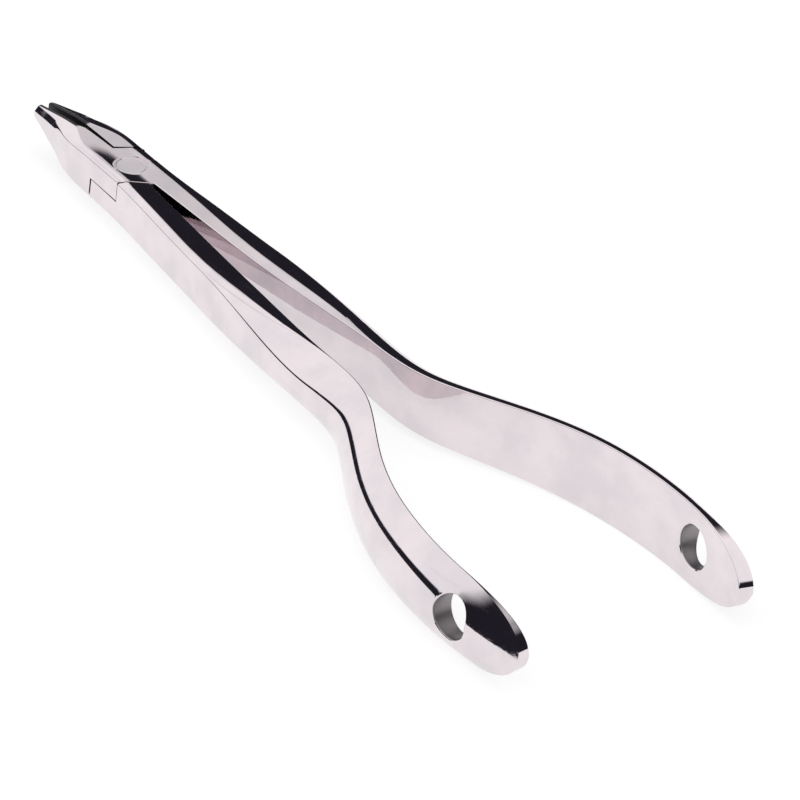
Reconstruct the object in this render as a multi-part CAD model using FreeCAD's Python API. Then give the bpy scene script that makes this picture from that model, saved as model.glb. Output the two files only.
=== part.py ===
"""Crimping pliers: two forged steel levers that cross at a lap joint, and the rivet they turn on.

Frame, in millimetres: X runs along the tool from the jaws (-X) to the grips (+X), Z is the pivot
axis, and the origin is where that axis leaves the joint's underside. The shapes are built about
the tool's mid-plane and lifted at the end. The lower lever is the upper lever turned half a turn
about the long axis. The levers stand a little open: closing turns the upper lever about -Z.
"""
import FreeCAD, Part
import math
import os

# Joint
JOINT_HALF_HEIGHT = 3.1        # from the mid-plane to the flat round the rivet
LAP_GAP = 0.10                 # between the two cheeks, at the mid-plane
RIVET_SHANK_R = 1.6
RIVET_HEAD_R = 2.2
RIVET_HEAD_H = 0.9
RIVET_CLEARANCE = 0.05         # running fit of the upper lever on the rivet
SPOT_FACE_R = 2.75             # flat ring round each rivet head
SHOULDER_OUTER = (3.4, 4.5)    # where a shoulder meets the side of the joint
SHOULDER_INNER = (5.5, 0.0)    # where it meets the middle of the tool
SHOULDER_GAP = 0.30

# Jaws
JAW_FACE_Y = 0.55              # each jaw face stands this far from the middle, slightly open
JAW_BEVEL = 0.35               # bevel along the jaw face's top and bottom edges
BLOCK_X = -12.4                # where the jaw faces end and the two blocks lie side by side
STEP_X = -13.6
CHEEK_EDGE_Y = (-0.16, 0.32)   # inner edge of the cheek at BLOCK_X and at its shoulder
BLOCK_EDGE_Y = (0.49, 0.62)    # inner edge of the block beside it, at the same places

# Handles
END_X = 126.3
END_ROUND_X = 112.0            # the end's rounded outline, seen from the side, starts here
END_POWER = 2.2                # power of that outline's superellipse
HOLE_X = 114.1
HOLE_R = 3.1
D_POWER = 2.1                  # power of the rounded corner's superellipse
BEVEL_POWER = 1.0              # the other corner is bevelled: its power across the tool

# Stations along X and the section's sizes there, each joined by a smooth cubic
EDGE_R = 0.45                  # rounding of the outer edges in the joint
JAW_CHAMFER = (0.62, 0.77)     # the jaw tip's outer edges are chamfered, this wide and high
CHAMFER_X = (-17, -12)         # where the chamfer turns into the rounding
ROUND_X = (30, 60)             # where the handle goes from a bar to a D-section
INNER_FACE = [(-8, -0.6), (5, 0.3), (20, 1.2), (40, 2.5), (57, 3.75), (66, 4.4), (70, 5.5), (76, 8.4),
              (84, 12.7), (92, 16.0), (101, 18.1), (111, 18.85), (120, 18.25), (130, 16.6)]
HANDLE_HALF_HEIGHT = [(-8, 3.1), (15, 3.15), (32, 3.2), (44, 3.6), (66, 4.65), (80, 5.25), (95, 5.85),
                      (110, 5.85), (130, 5.7)]
HANDLE_WIDTH = [(-8, 4.95), (-3.4, 4.72), (3, 4.42), (15, 4.6), (32, 5.0), (46, 5.2), (60, 4.8), (70, 4.42),
                (85, 4.2), (105, 3.6), (114, 3.25), (121, 2.75), (127, 2.15)]
JAW_HALF_HEIGHT = [(-24.5, 1.05), (-19, 2.15), (-16, 2.68), (-13, 3.0), (-10, 3.1), (-4, 3.1), (8, 3.1)]
JAW_WIDTH = [(-24.5, 1.75), (-22, 2.2), (-20, 2.5), (-17.2, 3.0), (-15, 3.4), (-12.3, 4.05), (-9.5, 4.4),
             (-6, 4.45), (0, 4.45), (8, 4.5)]
TOP_RIDGE = [(-8, 3.16), (0, 3.14), (7, 2.85), (14, 2.45), (22, 1.9), (38, 1.6), (46, 1.35), (51, 0.95),
             (54, 0.6), (58, 0.28), (66, 0.1)]
BOTTOM_RIDGE = [(-8, 3.16), (0, 3.14), (8, 3.3), (20, 3.7), (29, 3.7), (37, 2.95), (46, 1.9), (51, 1.1),
                (54, 0.6), (58, 0.28), (66, 0.1)]
JAW_RIDGE = [(-24.5, 0.75), (-17, 0.78), (-14.3, 1.05), (-12.3, 1.65), (-10.5, 2.4), (-8.4, 3.05), (-5, 3.16),
             (8, 3.16)]
BEVEL_HEIGHT_POWER = [(38, 2.1), (50, 2.4), (80, 2.87), (103, 1.94), (114, 1.4), (127, 1.0)]
CROWN = 0.22                   # height of the ridge over the section's edges
JAW_OUTER_SLOPE = 0.13         # fall of the jaw's top from its ridge to its outer edge
HANDLE_STATIONS = [-8, 0, 8, 20, 32, 42, 50, 56, 61, 65, 69, 73, 78, 84, 90, 96, 102, 107, END_ROUND_X]
JAW_STATIONS = [-24, -22, -20, -18, -16, -14.5, -13, -11.5, -10, -8.5, -7, -5, -3, -1, 1, 3, 5.5]
END_ANGLES = [20, 38, 54, 67, 77, 84]
BIG = 200.0


def vec(x, y, z):
    return FreeCAD.Vector(x, y, z)


def cubic(points):
    """A natural cubic spline y(x) through the points, returned as a function of x."""
    xs = [p[0] for p in points]
    ys = [p[1] for p in points]
    n = len(xs)
    steps = [xs[i + 1] - xs[i] for i in range(n - 1)]
    upper = [0.0] * n
    bend = [0.0] * n
    for i in range(1, n - 1):
        rise = (ys[i + 1] - ys[i]) / steps[i] - (ys[i] - ys[i - 1]) / steps[i - 1]
        pivot = 2 * (steps[i - 1] + steps[i]) - steps[i - 1] * upper[i - 1]
        upper[i] = steps[i] / pivot
        bend[i] = (6 * rise - steps[i - 1] * bend[i - 1]) / pivot
    for i in range(n - 2, 0, -1):
        bend[i] -= upper[i] * bend[i + 1]

    def value(x):
        i = max(k for k in range(n - 1) if k == 0 or xs[k] <= x)
        step = steps[i]
        a = (xs[i + 1] - x) / step
        b = (x - xs[i]) / step
        curve = (a ** 3 - a) * bend[i] + (b ** 3 - b) * bend[i + 1]
        return a * ys[i] + b * ys[i + 1] + curve * step ** 2 / 6

    return value


def blend(x, start, end):
    """0 before start, 1 after end, and a smooth step between."""
    t = min(1.0, max(0.0, (x - start) / (end - start)))
    return t * t * (3 - 2 * t)


inner_face = cubic(INNER_FACE)
handle_half_height = cubic(HANDLE_HALF_HEIGHT)
handle_width = cubic(HANDLE_WIDTH)
jaw_half_height = cubic(JAW_HALF_HEIGHT)
jaw_width = cubic(JAW_WIDTH)
top_ridge = cubic(TOP_RIDGE)
bottom_ridge = cubic(BOTTOM_RIDGE)
jaw_ridge = cubic(JAW_RIDGE)
bevel_height_power = cubic(BEVEL_HEIGHT_POWER)


def section(origin, along, heights, width, corner, ridges, top_powers, bottom_powers, left=1.0):
    """One closed section: flat inner face, ridged top and bottom, rounded or bevelled outer corners.

    origin is the middle of the inner face, along the direction towards the outer side. heights are
    those of the inner edge, the ridge and the outer edge, corner how far the outer corners reach
    across and down, and ridges how far the top and bottom ridges stand from the inner face. Where
    left is under 1, that share of the height is left and the rest is trimmed off flat.
    """
    inner, crest, outer = heights

    def at(u, z):
        return origin + along * u + vec(0, 0, z)

    def half(ridge, powers, sign):
        """The edges from the inner edge round to the outer side."""
        start = math.acos(((outer * left - outer + corner[1]) / corner[1]) ** (powers[1] / 2))
        points = []
        for k in range(9):
            angle = start + (math.pi / 2 - start) * k / 8
            u = width - corner[0] + corner[0] * math.sin(angle) ** (2 / powers[0])
            z = outer - corner[1] + corner[1] * math.cos(angle) ** (2 / powers[1])
            points.append(at(u, sign * z))
        curve = Part.BSplineCurve()
        curve.interpolate(points)
        edge = at(0, sign * inner * left)
        top = at(ridge, sign * crest * left)
        return [Part.makeLine(edge, top), Part.makeLine(top, points[0]), curve.toShape()]

    edges = [Part.makeLine(at(0, -inner * left), at(0, inner * left))]
    edges += half(ridges[0], top_powers, 1)
    edges.append(Part.makeLine(at(width, outer - corner[1]), at(width, corner[1] - outer)))
    edges += half(ridges[1], bottom_powers, -1)[::-1]
    return Part.Wire(edges)


def handle_section(x, left=1.0):
    """Section of the far handle, square to its inner face, which it meets at x."""
    slope = (inner_face(x + 0.01) - inner_face(x - 0.01)) / 0.02
    length = math.hypot(1, slope)
    outward = vec(-slope / length, 1 / length, 0)
    half = handle_half_height(x)
    width = handle_width(x)
    round_share = blend(x, *ROUND_X)
    across = (1 - round_share) * EDGE_R + round_share * (width - 0.2)
    down = (1 - round_share) * EDGE_R + round_share * (half - 0.1)
    crown = CROWN * (1 - blend(x, 40, 62))
    ridges = [min(ridge(min(x, 66)), (width - across) * 0.9) for ridge in (top_ridge, bottom_ridge)]
    bevel = (D_POWER + (BEVEL_POWER - D_POWER) * round_share, bevel_height_power(max(x, 38)))
    return section(vec(x, inner_face(x), 0), outward, (half, half + crown, half), width, (across, down),
                   ridges, (D_POWER, D_POWER), bevel, left)


def make_handle():
    wires = [handle_section(x) for x in HANDLE_STATIONS]
    for angle in END_ANGLES:
        reach = math.sin(math.radians(angle)) ** (2 / END_POWER)
        left = math.cos(math.radians(angle)) ** (2 / END_POWER)
        wires.append(handle_section(END_ROUND_X + (END_X - END_ROUND_X) * reach, left))
    return Part.makeLoft(wires, True)


def make_jaw():
    """The near jaw and the near half of the joint, with the inner side left to be cut."""
    wires = []
    over = 1.2
    for x in JAW_STATIONS:
        half = jaw_half_height(x)
        width = jaw_width(x)
        chamfer = 1 - blend(x, *CHAMFER_X)
        across, down = [EDGE_R + (size - EDGE_R) * chamfer for size in JAW_CHAMFER]
        power = D_POWER + (1 - D_POWER) * chamfer
        ridge = min(jaw_ridge(x), width - across - 0.05)
        crest = half + CROWN * blend(x, -12, -1)
        outer = crest - JAW_OUTER_SLOPE * (width - across - ridge)
        wires.append(section(vec(x, over, 0), vec(0, -1, 0), (half, crest, outer), width + over, (across, down),
                             (ridge + over, ridge + over), (power, power), (power, power)))
    return Part.makeLoft(wires, True)


def face_bevels():
    """What the bevels along the jaw face's top and bottom edges take off."""
    tops = []
    bottoms = []
    reach = 1.0
    for x in JAW_STATIONS[:7]:
        half = jaw_half_height(x)
        outline = [(-JAW_FACE_Y - JAW_BEVEL - reach, half + reach),
                   (-JAW_FACE_Y + reach, half - JAW_BEVEL - reach),
                   (-JAW_FACE_Y + reach, half + reach)]
        for wires, sign in ((tops, 1), (bottoms, -1)):
            points = [vec(x, y, sign * z) for y, z in outline]
            wires.append(Part.makePolygon(points + points[:1]))
    return Part.makeLoft(tops, True), Part.makeLoft(bottoms, True)


def prism(outline, low, high):
    points = [vec(x, y, low) for x, y in outline]
    face = Part.Face(Part.makePolygon(points + points[:1]))
    return face.extrude(vec(0, 0, high - low))


def past(inner, outer, times):
    """The point on the line from inner through outer, so many lengths from inner."""
    return (inner[0] + (outer[0] - inner[0]) * times, inner[1] + (outer[1] - inner[1]) * times)


def upper_layer():
    """Plan of what belongs to the upper lever above the mid-plane."""
    near_inner = (SHOULDER_INNER[0], SHOULDER_INNER[1])
    near_outer = (SHOULDER_OUTER[0], -SHOULDER_OUTER[1])
    far_inner = (-SHOULDER_INNER[0], CHEEK_EDGE_Y[1])
    far_outer = (-SHOULDER_OUTER[0], SHOULDER_OUTER[1])
    return [past(near_inner, near_outer, 3), near_inner, (BIG, near_inner[1]), (BIG, BIG),
            past(far_inner, far_outer, 30), far_inner, (BLOCK_X, CHEEK_EDGE_Y[0]),
            (STEP_X, -JAW_FACE_Y), (-BIG, -JAW_FACE_Y), (-BIG, -14)]


def lower_layer():
    """Plans of what belongs to the upper lever below the mid-plane: its jaw block and its handle."""
    gap = SHOULDER_GAP * math.hypot(2, 4.5) / 4.5
    block_inner = (-SHOULDER_INNER[0] - gap, -BLOCK_EDGE_Y[1])
    block_outer = (-SHOULDER_OUTER[0] - gap, -SHOULDER_OUTER[1])
    block = [(-BIG, -JAW_FACE_Y), (STEP_X, -JAW_FACE_Y), (BLOCK_X, -BLOCK_EDGE_Y[0]), block_inner,
             past(block_inner, block_outer, 4), (-BIG, -14)]
    handle_inner = (SHOULDER_INNER[0] + gap, SHOULDER_INNER[1])
    handle_outer = (SHOULDER_OUTER[0] + gap, SHOULDER_OUTER[1])
    handle = [handle_inner, (BIG, handle_inner[1]), (BIG, BIG), past(handle_inner, handle_outer, 30)]
    return block, handle


def cylinder(radius, low, high):
    return Part.makeCylinder(radius, high - low, vec(0, 0, low))


def grip_hole():
    """The round hole near the grip's end, square to the inner face."""
    slope = (inner_face(HOLE_X + 0.01) - inner_face(HOLE_X - 0.01)) / 0.02
    outward = vec(-slope, 1, 0)
    outward.normalize()
    start = vec(HOLE_X, inner_face(HOLE_X), 0) - outward * 5
    return Part.makeCylinder(HOLE_R, 15, start, outward)


def make_blank():
    """An upper lever about the mid-plane, before its holes for the rivet are cut."""
    top_bevel, bottom_bevel = face_bevels()
    body = make_handle().fuse(make_jaw().cut(top_bevel).cut(bottom_bevel))
    block, handle = lower_layer()
    top = body.common(prism(upper_layer(), LAP_GAP / 2, BIG))
    bottom = body.common(prism(block, -BIG, LAP_GAP / 2).fuse(prism(handle, -BIG, LAP_GAP / 2)))
    lever = top.fuse(bottom).removeSplitter()
    lever = lever.cut(cylinder(SPOT_FACE_R, JOINT_HALF_HEIGHT, JOINT_HALF_HEIGHT + 5))
    return lever.cut(grip_hole())


def cut_for_rivet(blank, gap):
    """The blank with holes for the rivet's shank and upper head, gap larger than the rivet."""
    shank = cylinder(RIVET_SHANK_R + gap, -5, 5)
    head = cylinder(RIVET_HEAD_R + gap, JOINT_HALF_HEIGHT - RIVET_HEAD_H - gap, 5)
    return blank.cut(shank.fuse(head)).Solids[0]


def make_rivet():
    rivet = cylinder(RIVET_SHANK_R, -JOINT_HALF_HEIGHT, JOINT_HALF_HEIGHT)
    for low in (-JOINT_HALF_HEIGHT, JOINT_HALF_HEIGHT - RIVET_HEAD_H):
        rivet = rivet.fuse(cylinder(RIVET_HEAD_R, low, low + RIVET_HEAD_H))
    return rivet.removeSplitter().Solids[0]


def main():
    os.makedirs("parts", exist_ok=True)
    blank = make_blank()
    lower_lever = cut_for_rivet(blank, 0.0)
    lower_lever.rotate(vec(0, 0, 0), vec(1, 0, 0), 180)
    nodes = {
        "upper_lever": cut_for_rivet(blank, RIVET_CLEARANCE),
        "lower_lever": lower_lever,
        "pivot_rivet": make_rivet(),
    }
    for name, shape in nodes.items():
        shape.translate(vec(0, 0, JOINT_HALF_HEIGHT))
        shape.exportStep("parts/%s.step" % name)
        box = shape.BoundBox
        print(name, shape.ShapeType, shape.isValid(), round(shape.Volume, 1), len(shape.Faces),
              [round(v, 2) for v in (box.XMin, box.YMin, box.ZMin, box.XMax, box.YMax, box.ZMax)])


main()
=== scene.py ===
"""Crimping pliers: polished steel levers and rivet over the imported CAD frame.

Lengths are in millimetres in the tool's own frame and become metres when a mesh is made. X runs
from the jaws (-X) to the grips (+X) and Z is the pivot axis. Sections are built about the tool's
mid-plane, which lies LIFT above the frame's origin. The lower lever is the upper lever turned
half a turn about the long axis.
"""
import bmesh
import bpy
import math
import numpy as np
from mathutils import Matrix, Vector


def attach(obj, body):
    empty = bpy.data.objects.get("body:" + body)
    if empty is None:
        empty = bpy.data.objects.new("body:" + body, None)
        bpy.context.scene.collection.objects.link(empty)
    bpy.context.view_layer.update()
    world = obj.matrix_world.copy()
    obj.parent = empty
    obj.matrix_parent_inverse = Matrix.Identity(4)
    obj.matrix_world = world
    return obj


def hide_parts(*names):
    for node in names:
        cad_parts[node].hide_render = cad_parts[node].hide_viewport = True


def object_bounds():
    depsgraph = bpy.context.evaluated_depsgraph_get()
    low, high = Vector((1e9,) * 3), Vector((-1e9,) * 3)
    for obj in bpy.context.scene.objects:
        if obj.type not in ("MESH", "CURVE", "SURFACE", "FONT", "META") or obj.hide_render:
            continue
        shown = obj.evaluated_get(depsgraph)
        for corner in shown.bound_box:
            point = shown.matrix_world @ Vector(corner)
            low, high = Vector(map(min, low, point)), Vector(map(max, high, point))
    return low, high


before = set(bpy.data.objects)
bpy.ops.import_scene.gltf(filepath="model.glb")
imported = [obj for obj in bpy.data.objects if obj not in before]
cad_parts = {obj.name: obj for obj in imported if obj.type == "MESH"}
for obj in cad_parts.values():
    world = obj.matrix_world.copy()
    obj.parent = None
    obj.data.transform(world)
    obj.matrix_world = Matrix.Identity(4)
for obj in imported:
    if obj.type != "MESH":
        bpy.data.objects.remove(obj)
cad_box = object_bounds()

MM = 0.001

# Joint, as in the CAD
LIFT = 3.1
LAP_GAP = 0.10
RIVET_SHANK_R = 1.6
RIVET_HEAD_R = 2.2
RIVET_HEAD_H = 0.9
DISH_START = 1.9               # the spot face and the head are dished from this radius outwards
DISH_DEPTH = 0.012             # drawn by bump only
RIVET_CLEARANCE = 0.05
RIVET_EDGE = 0.02
SPOT_FACE_R = 2.75
SHOULDER_OUTER = (3.4, 4.5)
SHOULDER_INNER = (5.5, 0.0)
SHOULDER_GAP = 0.30

# Jaws
TIP_X = -24.0
TIP_R = 0.35
FACE_EDGE_R = 0.12             # rounding of the inner edges in the joint
JAW_FACE_EDGE_R = 0.30         # the same along the jaw face
INNER_EDGE_R = 0.15            # the same along the handle
JAW_FACE_Y = 0.55
BLOCK_X = -12.4
STEP_X = -13.6
CHEEK_EDGE_Y = (-0.16, 0.32)
BLOCK_EDGE_Y = (0.49, 0.62)

# Handles
END_X = 126.3
END_ROUND_X = 112.0
END_POWER = 2.2
HOLE_X = 114.1
HOLE_R = 3.1
HOLE_RIM_R = 0.3
D_POWER = 2.1                  # power of the rounded corner's superellipse
BEVEL_POWER = 1.0              # the bottom corner is bevelled: its power across the tool
ROUND_X = (30, 60)             # where the handle goes from a bar to a D-section

# Stations along X and the section's sizes there
INNER_FACE = [(-8, -0.6), (5, 0.3), (20, 1.2), (40, 2.5), (57, 3.75), (66, 4.4), (70, 5.5), (76, 8.4),
              (84, 12.7), (92, 16.0), (101, 18.1), (111, 18.85), (120, 18.25), (130, 16.6)]
HANDLE_HALF_HEIGHT = [(-8, 3.1), (15, 3.15), (32, 3.2), (44, 3.6), (66, 4.65), (80, 5.25), (95, 5.85),
                      (110, 5.85), (130, 5.7)]
HANDLE_WIDTH = [(-8, 4.95), (-3.4, 4.72), (3, 4.42), (15, 4.6), (32, 5.0), (46, 5.2), (60, 4.8), (70, 4.42),
                (85, 4.2), (105, 3.6), (114, 3.25), (121, 2.75), (127, 2.15)]
JAW_HALF_HEIGHT = [(-24.5, 1.05), (-19, 2.15), (-16, 2.68), (-13, 3.0), (-10, 3.1), (-4, 3.1), (8, 3.1)]
JAW_WIDTH = [(-24.5, 1.75), (-22, 2.2), (-20, 2.5), (-17.2, 3.0), (-15, 3.4), (-12.3, 4.05), (-9.5, 4.4),
             (-6, 4.45), (0, 4.45), (8, 4.5)]
TOP_RIDGE = [(-8, 3.16), (0, 3.14), (7, 2.85), (14, 2.45), (22, 1.9), (38, 1.6), (46, 1.35), (51, 0.95),
             (54, 0.6), (58, 0.28), (66, 0.1)]
BOTTOM_RIDGE = [(-8, 3.16), (0, 3.14), (8, 3.3), (20, 3.7), (29, 3.7), (37, 2.95), (46, 1.9), (51, 1.1),
                (54, 0.6), (58, 0.28), (66, 0.1)]
JAW_RIDGE = [(-24.5, 0.75), (-17, 0.78), (-14.3, 1.05), (-12.3, 1.65), (-10.5, 2.4), (-8.4, 3.05), (-5, 3.16),
             (8, 3.16)]
BEVEL_HEIGHT_POWER = [(38, 2.1), (50, 2.4), (80, 2.87), (103, 1.94), (114, 1.4), (127, 1.0)]
EDGE_R = 0.45                  # rounding of the outer edges
JAW_CHAMFER = (0.62, 0.77)     # the jaw tip's outer edges are chamfered, this wide and high
CHAMFER_X = (-17, -12)         # where the chamfer turns into the rounding
CROWN = 0.22                   # height of the ridge over the section's edges
CROWN_START = (-12, -1)        # where it rises along the jaw
CROWN_END = (40, 62)           # where it runs out along the handle
RIDGE_END_X = 66
VALLEY_BEND = (-14, -8)        # where the jaw's slope up to the ridge turns hollow
VALLEY_FLATTEN = (-2, 3)       # where it straightens again, by this much
VALLEY_FLATTENED = 0.6
HANDLE_STRAIGHTEN = (0, 5)     # where the same slope on the handle turns straight
OUTER_SLOPE_X = (-17, -14.5)   # where the fall outside the jaw's ridge steepens, from one to the other
JAW_OUTER_SLOPE = (0.13, 0.19)

TOP_POINTS = 23                # points over a section's top
ARC_POINTS = 13                # points round one of its corners
TIP_POINTS = 6                 # stations round the jaw's tip
END_POINTS = 25                # stations round the grip's end
HOLE_POINTS = 96

# Light: the screen stands beyond the jaws, its middle turned towards the near side. Edges across
# are cosines of the angle from the middle, and feet are sines of elevations
SCREEN_BEARING = 11.0
SCREEN_EDGE = (0.6587, 0.690)
SCREEN_FOOT = (0.13, 0.165)
FADE_ACROSS = (0.745, 0.83)    # the screen is dimmer towards its far edge, above FADE_HEIGHT
FADE_HEIGHT = (0.28, 0.42)
FADE_LEVEL = 0.70              # its brightness there
WING_TOWARDS = (-0.34, -0.94)  # the wing stands on the near side, in this direction
WING_EDGE = (0.80, 0.87)
WING_FOOT = (0.22, 0.34)
CEILING_TILT = (-0.30, 0.35)   # how much higher the ceiling starts towards +X and +Y
CEILING_EDGE = (0.50, 0.62)
ROOM_COLOUR = (0.018, 0.016, 0.024)
LIGHT_COLOUR = (1.08, 1.07, 1.08)

# The camera, placed by its direction, distance and roll about the point it looks at
CAMERA_TARGET = Vector((66.3, 3.1, 3.1)) * MM
CAMERA_AZIMUTH = 51.8
CAMERA_ELEVATION = 31.3
CAMERA_ROLL = 7.6
CAMERA_DISTANCE = 825.4 * MM
CAMERA_LENS = 267.05

# Floor
FLOOR_SIZE = 1500.0
FLOOR_DEPTH = 5.0
FLOOR_DROP = 0.05
FLOOR_COLOUR = (0.36, 0.36, 0.36, 1.0)
FLOOR_GLOW = 0.74

# Steel
STEEL_TINT = (0.79, 0.72, 0.74)
STEEL_ROUGHNESS = 0.045
RIVET_TINT = (0.77, 0.71, 0.73)
RIVET_ROUGHNESS = 0.06
WORN_SHARES = (0.88, 0.90, 0.91)   # brightness of the worn clouds, a share of the tint per channel
SCRATCH_SHARE = 0.86               # the same for the scratches
# painted shade: the grip hole's wall is coloured this dark, on top of its rougher finish
HOLE_SHADE_COLOUR = (0.30, 0.28, 0.29)
HOLE_WALL_BAND = (0.03, 0.12)        # how far past the hole's radius its rough finish and painted shade fade out
# painted shade: the faces inside the joint and between the jaws are coloured near black
JOINT_SHADE_COLOUR = (0.035, 0.032, 0.036)
HIDDEN_SOFT = 0.06                 # width of the hidden surfaces' edge
HIDDEN_HEIGHT = LIFT - 0.16        # how far from the mid-plane the joint's inside reaches
HIDDEN_LAP = (6.1, 4.1)            # the lap's inside, half its length and half its width
HIDDEN_BLOCK_Y = 1.2
GROUND_ROUGHNESS = 0.45


def cubic(points):
    """A natural cubic spline y(x) through the points, returned as a function of x."""
    xs, ys = np.array(points, float).T
    n = len(xs)
    steps = np.diff(xs)
    slopes = np.diff(ys) / steps
    system = np.eye(n)
    rises = np.zeros(n)
    for i in range(1, n - 1):
        system[i, i - 1:i + 2] = steps[i - 1], 2 * (steps[i - 1] + steps[i]), steps[i]
        rises[i] = 6 * (slopes[i] - slopes[i - 1])
    bend = np.linalg.solve(system, rises)

    def value(x):
        i = min(max(int(np.searchsorted(xs, x, "right")) - 1, 0), n - 2)
        a = (xs[i + 1] - x) / steps[i]
        b = (x - xs[i]) / steps[i]
        curve = (a ** 3 - a) * bend[i] + (b ** 3 - b) * bend[i + 1]
        return float(a * ys[i] + b * ys[i + 1] + curve * steps[i] ** 2 / 6)

    return value


def blend(x, start, end):
    """0 before start, 1 after end, and a smooth step between."""
    t = min(1.0, max(0.0, (x - start) / (end - start)))
    return t * t * (3 - 2 * t)


def line_through(a, b):
    """The straight line y(x) through two points."""
    return lambda x: a[1] + (b[1] - a[1]) * (x - a[0]) / (b[0] - a[0])


inner_face = cubic(INNER_FACE)
handle_half_height = cubic(HANDLE_HALF_HEIGHT)
handle_width = cubic(HANDLE_WIDTH)
jaw_half_height = cubic(JAW_HALF_HEIGHT)
jaw_width = cubic(JAW_WIDTH)
top_ridge = cubic(TOP_RIDGE)
bottom_ridge = cubic(BOTTOM_RIDGE)
jaw_ridge = cubic(JAW_RIDGE)
bevel_height_power = cubic(BEVEL_HEIGHT_POWER)
near_shoulder = line_through((SHOULDER_OUTER[0], -SHOULDER_OUTER[1]), SHOULDER_INNER)
far_shoulder = line_through((-SHOULDER_INNER[0], CHEEK_EDGE_Y[1]), (-SHOULDER_OUTER[0], SHOULDER_OUTER[1]))
cheek_edge = line_through((BLOCK_X, CHEEK_EDGE_Y[0]), (-SHOULDER_INNER[0], CHEEK_EDGE_Y[1]))
jaw_step = line_through((STEP_X, -JAW_FACE_Y), (BLOCK_X, CHEEK_EDGE_Y[0]))


def near_side(x):
    """Where the upper lever's top layer ends towards -Y."""
    if x < SHOULDER_OUTER[0]:
        return -jaw_width(x)
    return min(near_shoulder(x), inner_face(x))


def far_side(x):
    """Where it ends towards +Y, left of the handle."""
    if x < STEP_X:
        return -JAW_FACE_Y
    if x < BLOCK_X:
        return jaw_step(x)
    if x < -SHOULDER_INNER[0]:
        return cheek_edge(x)
    return min(far_shoulder(x), inner_face(x) + handle_width(x))


def half_height(x):
    return jaw_half_height(x) if x < 0 else handle_half_height(x)


def jaw_corner(x):
    """How far the jaw's outer corner reaches across and down, and its curve's power."""
    chamfer = 1 - blend(x, *CHAMFER_X)
    return [EDGE_R + (size - EDGE_R) * chamfer for size in JAW_CHAMFER], D_POWER + (1 - D_POWER) * chamfer


def handle_corner(x):
    """How far the handle's rounded outer corner reaches across and down."""
    share = blend(x, *ROUND_X)
    across = (1 - share) * EDGE_R + share * (handle_width(x) - 0.2)
    return across, (1 - share) * EDGE_R + share * (half_height(x) - 0.1)


def corner_powers(x):
    """Powers of the bottom corner's curve, across the tool and down."""
    share = blend(x, *ROUND_X)
    return D_POWER + (BEVEL_POWER - D_POWER) * share, bevel_height_power(max(x, BEVEL_HEIGHT_POWER[0][0]))


def jaw_crown(x, u):
    """Height over half_height of the top, u from the tool's middle towards the jaw's outer edge."""
    flat = jaw_width(x) - jaw_corner(x)[0][0]
    ridge = min(jaw_ridge(x), flat - 0.05)
    height = CROWN * blend(x, *CROWN_START)
    if u < ridge:
        power = 1 + blend(x, *VALLEY_BEND) - VALLEY_FLATTENED * blend(x, *VALLEY_FLATTEN)
        return height * (max(0.0, u) / ridge) ** power
    slope = JAW_OUTER_SLOPE[0] + (JAW_OUTER_SLOPE[1] - JAW_OUTER_SLOPE[0]) * blend(x, *OUTER_SLOPE_X)
    return height - slope * (min(u, flat) - ridge)


def handle_crown(x, u, ridge_at):
    """The same for the handle, u from its inner face outwards."""
    flat = handle_width(x) - handle_corner(x)[0]
    ridge = min(ridge_at(min(x, RIDGE_END_X)), flat * 0.9)
    height = CROWN * (1 - blend(x, *CROWN_END))
    if u < ridge:
        return height * (max(0.0, u) / ridge) ** (2 - blend(x, *HANDLE_STRAIGHTEN))
    return height * max(0.0, (flat - u) / (flat - ridge))


def crown(x, y, ridge_at):
    """The jaw's or the handle's rise of the top at a point of the tool."""
    if y < max(0.0, inner_face(x)) and x < SHOULDER_INNER[0]:
        return jaw_crown(x, -y)
    return handle_crown(x, y - inner_face(x), ridge_at)


def corner_arc(width, half, corner_y, corner_z, powers, left):
    """Points (u, z) of a rounded corner, from the top round to the side."""
    start = math.acos(((half * left - half + corner_z) / corner_z) ** (powers[1] / 2))
    points = []
    for k in range(ARC_POINTS):
        angle = start + (math.pi / 2 - start) * k / (ARC_POINTS - 1)
        u = width - corner_y + corner_y * math.sin(angle) ** (2 / powers[0])
        points.append((u, half - corner_z + corner_z * math.cos(angle) ** (2 / powers[1])))
    return points


def half_section(x, near, width, far_corner, powers, ridge_at, left):
    """Points (u, z) of a section's upper half, from its near side over the top to its far side."""
    half = half_height(x)
    (near_y, near_z), power = (INNER_EDGE_R, INNER_EDGE_R), D_POWER
    if x < SHOULDER_OUTER[0]:
        (near_y, near_z), power = jaw_corner(x)
    near_y = min(near_y, width / 2)
    near_z = min(near_z, half * left * 0.9)
    far_y = min(far_corner[0], width - near_y - 0.02)
    far_z = far_corner[1]

    def lift(u):
        return crown(x, near + u, ridge_at) if left == 1.0 else 0.0

    near_arc = corner_arc(near_y, half * left, near_y, near_z, (power, power), 1.0)
    far_arc = corner_arc(width, half, far_y, far_z, powers, left)
    first, last = near_y - near_arc[0][0], far_arc[0][0]
    points = [(near_y - u, z + lift(first)) for u, z in near_arc[::-1]]
    for k in range(1, TOP_POINTS):
        u = first + (last - first) * k / TOP_POINTS
        points.append((u, half * left + lift(u)))
    far_lift = lift(last)
    return points + [(u, z + far_lift * max(0.0, (z - half + far_z) / far_z)) for u, z in far_arc]


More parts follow.
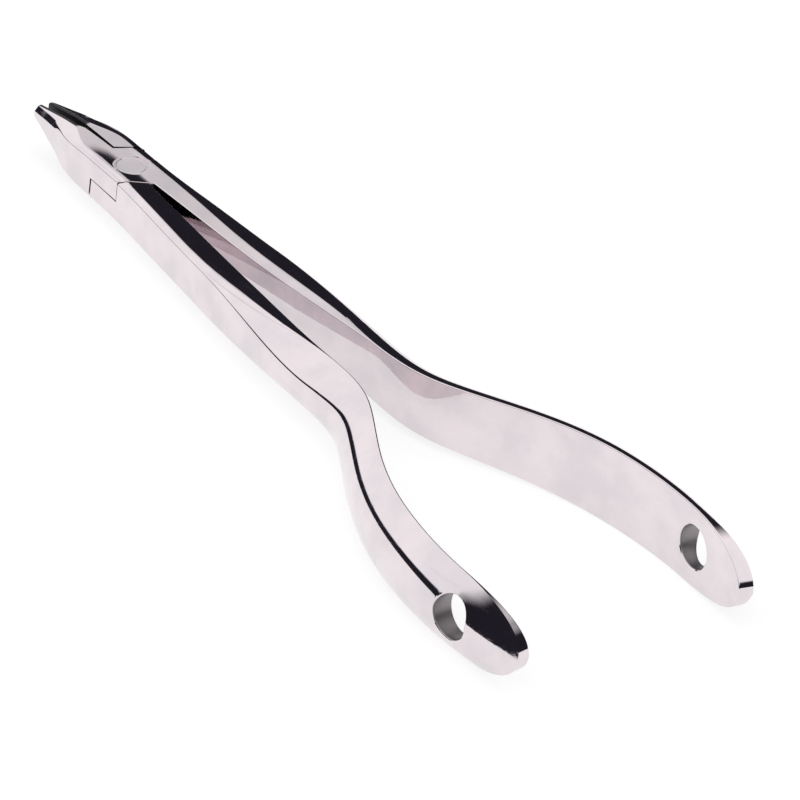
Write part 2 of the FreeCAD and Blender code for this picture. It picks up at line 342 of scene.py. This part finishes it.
def section(x, left=1.0, inset=0.0):
    """The closed section of a full-height lever at station x, as points of the frame."""
    near = near_side(x)
    slope = (inner_face(x + 0.01) - inner_face(x - 0.01)) / 0.02 * blend(x, 6, 16)
    length = math.hypot(1, slope)
    handle = near_shoulder(x) >= inner_face(x) and x > SHOULDER_OUTER[0]
    width = handle_width(x) if handle else far_side(x) - near
    if x > -SHOULDER_OUTER[0]:
        corner, powers = handle_corner(x), corner_powers(x)
    else:
        edge = FACE_EDGE_R + (JAW_FACE_EDGE_R - FACE_EDGE_R) * blend(-x, 12, 14)
        corner, powers = (edge, edge), (D_POWER, D_POWER)
    loop = half_section(x, near, width, corner, (D_POWER, D_POWER), top_ridge, left)
    loop += [(u, -z) for u, z in half_section(x, near, width, corner, powers, bottom_ridge, left)[::-1]]
    points = []
    for u, z in loop:
        u = inset + u * (width - 2 * inset) / width
        z *= 1 - inset / half_height(x)
        points.append((x - slope / length * u, near + u / length, z))
    return points


def mesh_object(name, vertices, faces):
    mesh = bpy.data.meshes.new(name)
    mesh.from_pydata([tuple(c * MM for c in v) for v in vertices], [], faces)
    obj = bpy.data.objects.new(name, mesh)
    bpy.context.scene.collection.objects.link(obj)
    bm = bmesh.new()
    bm.from_mesh(mesh)
    bmesh.ops.remove_doubles(bm, verts=bm.verts, dist=1e-7)
    bmesh.ops.recalc_face_normals(bm, faces=bm.faces)
    if bm.calc_volume(signed=True) < 0:
        bmesh.ops.reverse_faces(bm, faces=bm.faces)
    bm.to_mesh(mesh)
    bm.free()
    return obj


def skin(name, loops):
    """A closed mesh over a row of loops with the same number of points, capped at both ends."""
    n = len(loops[0])
    vertices = [p for loop in loops for p in loop]
    faces = []
    for i in range(len(loops) - 1):
        for k in range(n):
            a, b = i * n + k, i * n + (k + 1) % n
            faces.append((a, b, b + n, a + n))
    faces.append(tuple(range(n)))
    faces.append(tuple(range(len(vertices) - n, len(vertices))))
    return mesh_object(name, vertices, faces)


def spans(*parts):
    """Stations over (start, end, step) spans that follow each other."""
    xs = []
    for start, end, step in parts:
        count = max(1, round((end - start) / step))
        xs += [start + (end - start) * k / count for k in range(count)]
    return xs


def lever_body():
    crotch = SHOULDER_INNER[0] + 0.155
    shoulder = SHOULDER_OUTER[0]
    loops = []
    for k in range(TIP_POINTS):
        angle = math.pi / 2 * k / TIP_POINTS
        inset = TIP_R * (1 - math.sin(angle))
        loops.append(section(TIP_X + TIP_R * (1 - math.cos(angle)), inset=inset))
    for x in spans((TIP_X + TIP_R, STEP_X, 0.5), (STEP_X, BLOCK_X, 0.2),
                   (BLOCK_X, -SHOULDER_INNER[0], 0.4), (-SHOULDER_INNER[0], -shoulder, 0.15),
                   (-shoulder, shoulder, 0.4), (shoulder, crotch, 0.15), (crotch, 40, 0.7),
                   (40, END_ROUND_X, 0.6)):
        loops.append(section(x))
    for k in range(END_POINTS):
        angle = math.radians(88.0) * k / (END_POINTS - 1)
        reach = math.sin(angle) ** (2 / END_POWER)
        left = math.cos(angle) ** (2 / END_POWER)
        loops.append(section(END_ROUND_X + (END_X - END_ROUND_X) * reach, left))
    return skin("lever", loops)


def prism(name, outline, low, high):
    n = len(outline)
    vertices = [(x, y, low) for x, y in outline] + [(x, y, high) for x, y in outline]
    faces = [(k, (k + 1) % n, (k + 1) % n + n, k + n) for k in range(n)]
    return mesh_object(name, vertices, faces + [tuple(range(n)), tuple(range(n, 2 * n))])


def lathe(name, profile, count=128):
    """A closed mesh of revolution about the pivot axis, from (radius, z) points that start and end on it."""
    vertices = [(0, 0, profile[0][1]), (0, 0, profile[-1][1])]
    for r, z in profile[1:-1]:
        for k in range(count):
            angle = 2 * math.pi * k / count
            vertices.append((r * math.cos(angle), r * math.sin(angle), z))
    rows = len(profile) - 2
    faces = []
    for k in range(count):
        j = (k + 1) % count
        faces.append((0, 2 + j, 2 + k))
        faces.append((1, 2 + (rows - 1) * count + k, 2 + (rows - 1) * count + j))
        for i in range(rows - 1):
            a = 2 + i * count
            faces.append((a + k, a + j, a + count + j, a + count + k))
    return mesh_object(name, vertices, faces)


def cut(obj, cutter):
    """Takes the cutter out of the object and removes the cutter."""
    modifier = obj.modifiers.new("cut", "BOOLEAN")
    modifier.operation = "DIFFERENCE"
    modifier.solver = "MANIFOLD"
    modifier.object = cutter
    bpy.context.view_layer.update()
    evaluated = obj.evaluated_get(bpy.context.evaluated_depsgraph_get())
    mesh = bpy.data.meshes.new_from_object(evaluated)
    obj.modifiers.clear()
    obj.data = mesh
    bpy.data.objects.remove(cutter)


def lap_cutter():
    """What the other lever's half of the joint takes from the bottom layer."""
    gap = SHOULDER_GAP * math.hypot(2.1, 4.5) / 4.5
    block_inner = (-SHOULDER_INNER[0] - gap, -BLOCK_EDGE_Y[1])
    block_outer = (-SHOULDER_OUTER[0] - gap, -SHOULDER_OUTER[1])
    handle_inner = (SHOULDER_INNER[0] + gap, 0.0)
    handle_outer = (SHOULDER_OUTER[0] + gap, SHOULDER_OUTER[1])
    past = 2.0

    def beyond(a, b):
        return (a[0] + (b[0] - a[0]) * past, a[1] + (b[1] - a[1]) * past)

    outline = [(STEP_X, 9), (STEP_X, -JAW_FACE_Y), (BLOCK_X, -BLOCK_EDGE_Y[0]), block_inner,
               beyond(block_inner, block_outer), (8, -9), (8, 0), handle_inner,
               beyond(handle_inner, handle_outer)]
    return prism("lap", outline, -9, LAP_GAP / 2)


def rivet_cutter(clearance):
    """The hole for the rivet's shank and head, with the flat ring round the head."""
    shank = RIVET_SHANK_R + clearance
    head = RIVET_HEAD_R + clearance / 5
    floor = LIFT - RIVET_HEAD_H - clearance
    return lathe("rivet_hole", [(0, -6), (shank, -6), (shank, floor), (head, floor), (head, LIFT - 0.04),
                                (head + 0.04, LIFT), (SPOT_FACE_R, LIFT), (SPOT_FACE_R + 0.05, LIFT + 1),
                                (0, LIFT + 1)])


def hole_cutter():
    """The grip's hole, with rims rolled over into the inner and outer faces."""
    slope = (inner_face(HOLE_X + 0.01) - inner_face(HOLE_X - 0.01)) / 0.02
    outward = Vector((-slope, 1, 0)).normalized()
    along = Vector((outward.y, -outward.x, 0))
    start = Vector((HOLE_X, inner_face(HOLE_X), 0))

    def surface(dx, z):
        """How far out the outer face stands at a point of the hole's edge."""
        powers = (D_POWER, D_POWER) if z > 0 else corner_powers(HOLE_X)
        corner_y, corner_z = handle_corner(HOLE_X)
        share = max(0.0, abs(z) - 0.1) / corner_z
        width = handle_width(HOLE_X + dx)
        return width - corner_y + corner_y * (1 - share ** powers[1]) ** (1 / powers[0])

    rows = []
    steps = [math.radians(a) for a in (65, 50, 35, 20, 0)]
    for side in (0, 1):
        for angle in (steps if side == 0 else steps[::-1]):
            flare = HOLE_R + HOLE_RIM_R * (1 - math.cos(angle))
            depth = HOLE_RIM_R * (1 - math.sin(angle))
            rows.append((side, flare, depth))
    rows = [(0, HOLE_R + 1.6, -1.5)] + rows + [(1, HOLE_R + 1.6, -1.5)]
    loops = []
    for side, radius, depth in rows:
        loop = []
        for k in range(HOLE_POINTS):
            angle = 2 * math.pi * k / HOLE_POINTS
            dx, z = radius * math.cos(angle), radius * math.sin(angle)
            bow = inner_face(HOLE_X + dx) - inner_face(HOLE_X) - slope * dx
            out = bow + depth if side == 0 else surface(dx, z) + bow - depth
            point = start + along * dx + outward * out
            loop.append((point.x, point.y, z))
        loops.append(loop)
    return skin("grip_hole", loops)


def finish_mesh(obj, sharp_degrees=30.0):
    """Smooth shading, broken where faces meet at more than the given angle."""
    bm = bmesh.new()
    bm.from_mesh(obj.data)
    bmesh.ops.dissolve_degenerate(bm, dist=1e-7, edges=bm.edges)
    for face in bm.faces:
        face.smooth = True
    for edge in bm.edges:
        if len(edge.link_faces) == 2:
            edge.smooth = edge.calc_face_angle(0.0) < math.radians(sharp_degrees)
    bm.to_mesh(obj.data)
    bm.free()
    weighted = obj.modifiers.new("weighted", "WEIGHTED_NORMAL")
    weighted.keep_sharp = True
    weighted.weight = 50


def make_lever(name, clearance, turned):
    lever = lever_body()
    lever.name = name
    lever.data.name = name
    cut(lever, lap_cutter())
    cut(lever, rivet_cutter(clearance))
    cut(lever, hole_cutter())
    turn = Matrix.Rotation(math.pi if turned else 0.0, 4, "X")
    lever.data.transform(Matrix.Translation((0, 0, LIFT * MM)) @ turn)
    finish_mesh(lever)
    return lever


def make_rivet():
    edge, top = RIVET_EDGE, LIFT
    profile = [(0, -top), (RIVET_HEAD_R - edge, -top), (RIVET_HEAD_R, -top + edge),
               (RIVET_HEAD_R, -top + RIVET_HEAD_H), (RIVET_SHANK_R, -top + RIVET_HEAD_H),
               (RIVET_SHANK_R, top - RIVET_HEAD_H), (RIVET_HEAD_R, top - RIVET_HEAD_H),
               (RIVET_HEAD_R, top - edge), (RIVET_HEAD_R - edge, top), (0, top)]
    rivet = lathe("rivet", profile)
    rivet.data.transform(Matrix.Translation((0, 0, LIFT * MM)))
    finish_mesh(rivet)
    return rivet


class Graph:
    """Adds nodes to a material's or world's tree."""

    def __init__(self, owner):
        owner.use_nodes = True
        self.nodes = owner.node_tree.nodes
        self.links = owner.node_tree.links

    def add(self, kind, inputs=None, **settings):
        node = self.nodes.new("ShaderNode" + kind)
        for name, value in settings.items():
            setattr(node, name, value)
        for name, value in (inputs or {}).items():
            if isinstance(value, bpy.types.NodeSocket):
                self.links.new(value, node.inputs[name])
            else:
                node.inputs[name].default_value = value
        return node

    def math(self, operation, first, second=0.0):
        return self.add("Math", {0: first, 1: second}, operation=operation).outputs[0]

    def step(self, value, start, end, low=0.0, high=1.0):
        """A smooth step from low to high as the value goes from start to end."""
        inputs = {"Value": value, "From Min": start, "From Max": end, "To Min": low, "To Max": high}
        return self.add("MapRange", inputs, interpolation_type="SMOOTHSTEP").outputs[0]

    def product(self, *values):
        result = values[0]
        for value in values[1:]:
            result = self.math("MULTIPLY", result, value)
        return result

    def mix(self, share, first, second):
        """A colour mixed from two."""
        node = self.add("Mix", {0: share}, data_type="RGBA")
        for index, value in ((6, first), (7, second)):
            if isinstance(value, bpy.types.NodeSocket):
                self.links.new(value, node.inputs[index])
            else:
                node.inputs[index].default_value = (*value, 1.0)
        return node.outputs[2]

    def noise(self, vector, scale, detail=3.0):
        return self.add("TexNoise", {"Vector": vector, "Scale": scale, "Detail": detail}).outputs["Fac"]

    def stretched(self, vector, scales):
        return self.add("Mapping", {"Vector": vector, "Scale": scales}).outputs["Vector"]

    def bump(self, height, distance, normal=None):
        inputs = {"Height": height, "Distance": distance, "Strength": 1.0}
        if normal:
            inputs["Normal"] = normal
        return self.add("Bump", inputs).outputs["Normal"]


def joint_shade_and_ground_share(graph, place):
    """1 on the surfaces inside the lap joint and between the jaws, which are ground rougher and painted near
    black: painted shade between the parts.
    """
    axes = graph.add("SeparateXYZ", {"Vector": place}).outputs
    x = axes["X"]
    across = graph.math("ABSOLUTE", axes["Y"])
    height = graph.math("ABSOLUTE", graph.math("SUBTRACT", axes["Z"], LIFT * MM))

    def below(value, limit):
        return graph.step(value, limit * MM, (limit + HIDDEN_SOFT) * MM, 1.0, 0.0)

    jaw_faces = graph.product(below(x, STEP_X), below(across, JAW_FACE_Y + 0.03))
    blocks = graph.product(below(x, -SHOULDER_OUTER[0]), below(across, HIDDEN_BLOCK_Y))
    lap = graph.product(below(graph.math("ABSOLUTE", x), HIDDEN_LAP[0]), below(across, HIDDEN_LAP[1]))
    inside = graph.product(graph.math("MAXIMUM", blocks, lap), below(height, HIDDEN_HEIGHT))
    return graph.math("MAXIMUM", jaw_faces, inside)


def drilled_and_shade_share(graph, place):
    """1 on the wall of the grip's hole, which is rougher and coloured darker: painted shade in the hole."""
    inner = Vector((HOLE_X, 0.0, LIFT)) * MM
    slope = (inner_face(HOLE_X + 0.01) - inner_face(HOLE_X - 0.01)) / 0.02
    offset = graph.add("VectorMath", {0: place, 1: inner}, operation="SUBTRACT").outputs[0]
    axes = graph.add("SeparateXYZ", {"Vector": offset}).outputs
    depth = graph.math("SUBTRACT", graph.math("ABSOLUTE", axes["Y"]), inner_face(HOLE_X) * MM)
    along = graph.math("ADD", axes["X"], graph.math("MULTIPLY", depth, slope))
    squares = graph.math("ADD", graph.product(along, along), graph.product(axes["Z"], axes["Z"]))
    radius = graph.math("SQRT", squares)
    start, end = ((HOLE_R + margin) * MM for margin in HOLE_WALL_BAND)
    return graph.step(radius, start, end, 1.0, 0.0)


def polished_steel(name, tint, roughness, turned=False):
    """Mirror-polished steel with a faint waviness, soft cloudy haze and hairline scratches.

    Where turned is true the hairlines are rings about the pivot axis, and otherwise they run
    along the lever.
    """
    material = bpy.data.materials.new(name)
    graph = Graph(material)
    shader = graph.nodes["Principled BSDF"]
    shader.inputs["Metallic"].default_value = 1.0
    place = graph.add("TexCoord").outputs["Object"]
    clouds = graph.noise(place, 170.0, 4.0)
    haze = graph.noise(place, 420.0, 5.0)
    flat = graph.add("VectorMath", {0: place, 1: (1.0, 1.0, 0.0)}, operation="MULTIPLY").outputs[0]
    radius = graph.add("VectorMath", {0: flat}, operation="LENGTH").outputs["Value"]
    if turned:
        lines = graph.noise(graph.add("CombineXYZ", {"X": radius}).outputs[0], 9000.0, 2.0)
    else:
        lines = graph.noise(graph.stretched(place, (30.0, 4200.0, 4200.0)), 1.0, 3.0)
    scratches = graph.step(lines, 0.60, 0.72)
    # mask of the painted shade inside the joint and between the jaws, also used for their ground roughness
    joint_shade_and_ground = joint_shade_and_ground_share(graph, place)

    shade = graph.step(clouds, 0.3, 0.7)
    worn = [c * share for c, share in zip(tint, WORN_SHARES)]
    polish = graph.mix(shade, worn, tint)
    polish = graph.mix(graph.math("MULTIPLY", scratches, 0.35), polish, [c * SCRATCH_SHARE for c in tint])
    links = graph.links
    drilled_and_shade = drilled_and_shade_share(graph, place)
    # painted shade on the grip hole's wall, which is also given a rougher finish below
    polish = graph.mix(drilled_and_shade, polish, HOLE_SHADE_COLOUR)
    # painted shade: near black inside the joint and between the jaws
    links.new(graph.mix(joint_shade_and_ground, polish, JOINT_SHADE_COLOUR), shader.inputs["Base Color"])

    dull = graph.step(haze, 0.35, 0.75, roughness * 0.6, roughness * 1.6)
    dull = graph.math("ADD", dull, graph.math("MULTIPLY", scratches, 0.05))
    ground = graph.math("MAXIMUM", joint_shade_and_ground, drilled_and_shade)
    dull = graph.math("MAXIMUM", dull, graph.math("MULTIPLY", ground, GROUND_ROUGHNESS))
    links.new(dull, shader.inputs["Roughness"])

    dish = graph.step(radius, DISH_START * MM, SPOT_FACE_R * MM)
    waves = graph.bump(clouds, 0.006 * MM, graph.bump(dish, DISH_DEPTH * MM))
    links.new(graph.bump(scratches, 0.0006 * MM, waves), shader.inputs["Normal"])
    return material


def floor_material():
    """A pale matt sheet, lit evenly from below so that it stays white round the tool."""
    material = bpy.data.materials.new("pale_floor")
    graph = Graph(material)
    shader = graph.nodes["Principled BSDF"]
    shader.inputs["Base Color"].default_value = FLOOR_COLOUR
    shader.inputs["Roughness"].default_value = 0.9
    shader.inputs["Specular IOR Level"].default_value = 0.0
    shader.inputs["Emission Color"].default_value = (1.0, 1.0, 1.0, 1.0)
    shader.inputs["Emission Strength"].default_value = FLOOR_GLOW
    return material


def studio():
    """A dark room with a white ceiling, a tall bright screen beyond the jaws and a wing on the near side."""
    world = bpy.data.worlds.new("studio")
    bpy.context.scene.world = world
    graph = Graph(world)
    direction = graph.add("TexCoord").outputs["Generated"]
    axes = graph.add("SeparateXYZ", {"Vector": direction}).outputs
    flat = graph.add("VectorMath", {0: direction, 1: (1.0, 1.0, 0.0)}, operation="MULTIPLY").outputs[0]
    bearing = graph.add("VectorMath", {0: flat}, operation="NORMALIZE").outputs[0]

    def towards(x, y):
        """Cosine of the angle to a bearing, seen from above."""
        return graph.add("VectorMath", {0: bearing, 1: (x, y, 0.0)}, operation="DOT_PRODUCT").outputs["Value"]

    centre = math.radians(SCREEN_BEARING)
    from_centre = towards(-math.cos(centre), -math.sin(centre))
    fade = graph.step(from_centre, *FADE_ACROSS, FADE_LEVEL, 1.0)
    fade = graph.math("MAXIMUM", fade, graph.step(axes["Z"], *FADE_HEIGHT, 1.0, FADE_LEVEL))
    screen = graph.product(graph.step(from_centre, *SCREEN_EDGE), graph.step(axes["Z"], *SCREEN_FOOT), fade)
    wing = graph.product(graph.step(towards(*WING_TOWARDS), *WING_EDGE), graph.step(axes["Z"], *WING_FOOT))
    raised_x = graph.math("MULTIPLY", graph.math("MAXIMUM", axes["X"], 0.0), CEILING_TILT[0])
    raised_y = graph.math("MULTIPLY", graph.math("MAXIMUM", axes["Y"], 0.0), CEILING_TILT[1])
    height = graph.math("SUBTRACT", axes["Z"], graph.math("ADD", raised_y, raised_x))
    ceiling = graph.step(height, *CEILING_EDGE)
    light = graph.math("MAXIMUM", graph.math("MAXIMUM", screen, wing), ceiling)
    background = graph.nodes["Background"]
    graph.links.new(graph.mix(light, ROOM_COLOUR, LIGHT_COLOUR), background.inputs["Color"])
    background.inputs["Strength"].default_value = 1.0


def add_camera():
    azimuth, elevation, roll = (math.radians(a) for a in (CAMERA_AZIMUTH, CAMERA_ELEVATION, CAMERA_ROLL))
    back = Vector((math.sin(azimuth) * math.cos(elevation), -math.cos(azimuth) * math.cos(elevation),
                   math.sin(elevation)))
    right = Vector((0, 0, 1)).cross(back).normalized()
    up = back.cross(right)
    x_axis = right * math.cos(roll) + up * math.sin(roll)
    y_axis = up * math.cos(roll) - right * math.sin(roll)
    data = bpy.data.cameras.new("camera")
    data.lens = CAMERA_LENS
    data.sensor_width = 36.0
    data.clip_start = 0.01
    data.clip_end = 20.0
    camera = bpy.data.objects.new("camera", data)
    camera.matrix_world = Matrix.Translation(CAMERA_TARGET + back * CAMERA_DISTANCE) @ Matrix(
        (x_axis, y_axis, back)).transposed().to_4x4()
    bpy.context.scene.collection.objects.link(camera)
    bpy.context.scene.camera = camera


def add_floor():
    low = cad_box[0][2] / MM - FLOOR_DROP
    size = FLOOR_SIZE
    outline = [(-size, -size), (size, -size), (size, size), (-size, size)]
    floor = prism("floor", outline, low - FLOOR_DEPTH, low)
    floor.data.materials.append(floor_material())


def main():
    steel = polished_steel("polished_steel", STEEL_TINT, STEEL_ROUGHNESS)
    rivet_steel = polished_steel("rivet_steel", RIVET_TINT, RIVET_ROUGHNESS, turned=True)
    upper = make_lever("upper_lever_polished", RIVET_CLEARANCE, False)
    lower = make_lever("lower_lever_polished", 0.0, True)
    pieces = [
        (upper, "upper_lever", "moving_lever", steel, "polished_steel"),
        (lower, "lower_lever", "fixed_lever", steel, "polished_steel"),
        (make_rivet(), "pivot_rivet", "fixed_lever", rivet_steel, "rivet_steel"),
    ]
    for piece, node, body, material, slot in pieces:
        piece.data.materials.clear()
        piece.data.materials.append(material)
        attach(piece, body)
        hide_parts(node)
    add_floor()
    add_camera()
    studio()
    bpy.context.scene.view_settings.view_transform = "Standard"


main()
